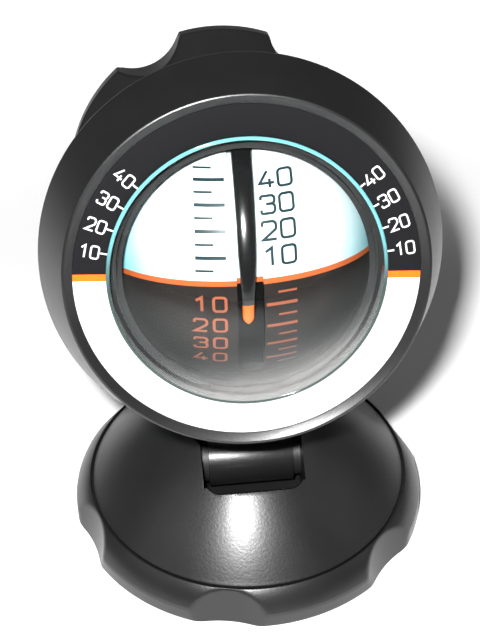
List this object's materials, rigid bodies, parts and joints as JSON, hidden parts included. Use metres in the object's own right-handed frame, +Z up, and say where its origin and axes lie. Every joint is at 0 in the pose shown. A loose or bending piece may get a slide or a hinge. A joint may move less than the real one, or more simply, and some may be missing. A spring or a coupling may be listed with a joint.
{
  "type": "inclinometer",
  "caption": "Dashboard pitch and roll meter: a weighted ball and a pendulum pointer in a clear dome, on a tilting head over a swivelling scalloped base.",
  "frame": {"origin": "on the surface it stands on, under the swivel axis", "axes": "+Z up along the swivel axis, -Y towards the viewer of the dial, +X to the viewer's right"},
  "size_m": [0.082, 0.1044, 0.1085],
  "materials": {
    "black_plastic": "satin, fine texture",
    "adhesive_foam": "matt foam",
    "steel": "plated",
    "brass": "turned",
    "nylon": "natural",
    "seal_rubber": "matt",
    "printed_ring": "printed half dark, half white",
    "clear_dome": "clear, polished",
    "capsule_plastic": "moulded",
    "sky_plastic": "smooth",
    "ground_plastic": "smooth",
    "orange_plastic": "smooth",
    "pointer_plastic": "smooth"
  },
  "bodies": {
    "base": {"adhesive_pad": "adhesive_foam", "base_plate": "black_plastic", "base_ring": "black_plastic", "base_screws": "steel"},
    "turret": {"turret": "black_plastic", "slip_washer": "nylon", "swivel_washer": "steel", "swivel_screw": "steel", "hinge_screw": "steel", "hinge_nut": "steel"},
    "yoke": {"yoke": "black_plastic", "washer_left": "nylon", "washer_right": "nylon", "friction_ring": "seal_rubber"},
    "head": {"bezel": "black_plastic", "scale_ring": "printed_ring", "dome_window": "clear_dome", "capsule_bowl": "capsule_plastic", "capsule_seal": "seal_rubber", "fill_plug": "brass", "expansion_diaphragm": "seal_rubber", "diaphragm_cap": "capsule_plastic", "roll_bush": "brass", "end_stone": "steel", "rear_housing": "black_plastic", "retaining_ring": "nylon", "rear_cap": "black_plastic", "rear_plate": "black_plastic", "rear_screws": "steel"},
    "ball": {"ball_upper": "sky_plastic", "ball_lower": "ground_plastic", "horizon_band": "orange_plastic", "roll_hub": "nylon", "roll_axle": "steel", "ballast_weight": "steel", "pitch_axle": "steel", "axle_socket_left": "nylon", "axle_socket_right": "nylon"},
    "pointer": {"pointer_arm": "pointer_plastic", "pointer_tip": "orange_plastic", "pointer_bush": "brass", "pointer_weight": "brass"}
  },
  "joints": [
    {"name": "base_swivel", "type": "hinge", "parent": "base", "child": "turret", "pos_m": [0, 0, 0.0082], "axis": [0, 0, 1], "continuous": true},
    {"name": "head_tilt", "type": "hinge", "parent": "turret", "child": "yoke", "pos_m": [0, -0.005, 0.0175], "axis": [-1, 0, 0], "range_deg": [-34, 9]},
    {"name": "roll_zero", "type": "hinge", "parent": "yoke", "child": "head", "pos_m": [0, -0.01075, 0.07399], "axis": [0, 0.9422, -0.335], "continuous": true},
    {"name": "ball_roll", "type": "hinge", "parent": "head", "child": "ball", "pos_m": [0, 0.01194, 0.06592], "axis": [0, 0.9422, -0.335], "continuous": true},
    {"name": "pitch_pointer", "type": "hinge", "parent": "ball", "child": "pointer", "pos_m": [0, 0.01194, 0.06592], "axis": [-1, 0, 0], "range_deg": [-25, 64]}
  ]
}
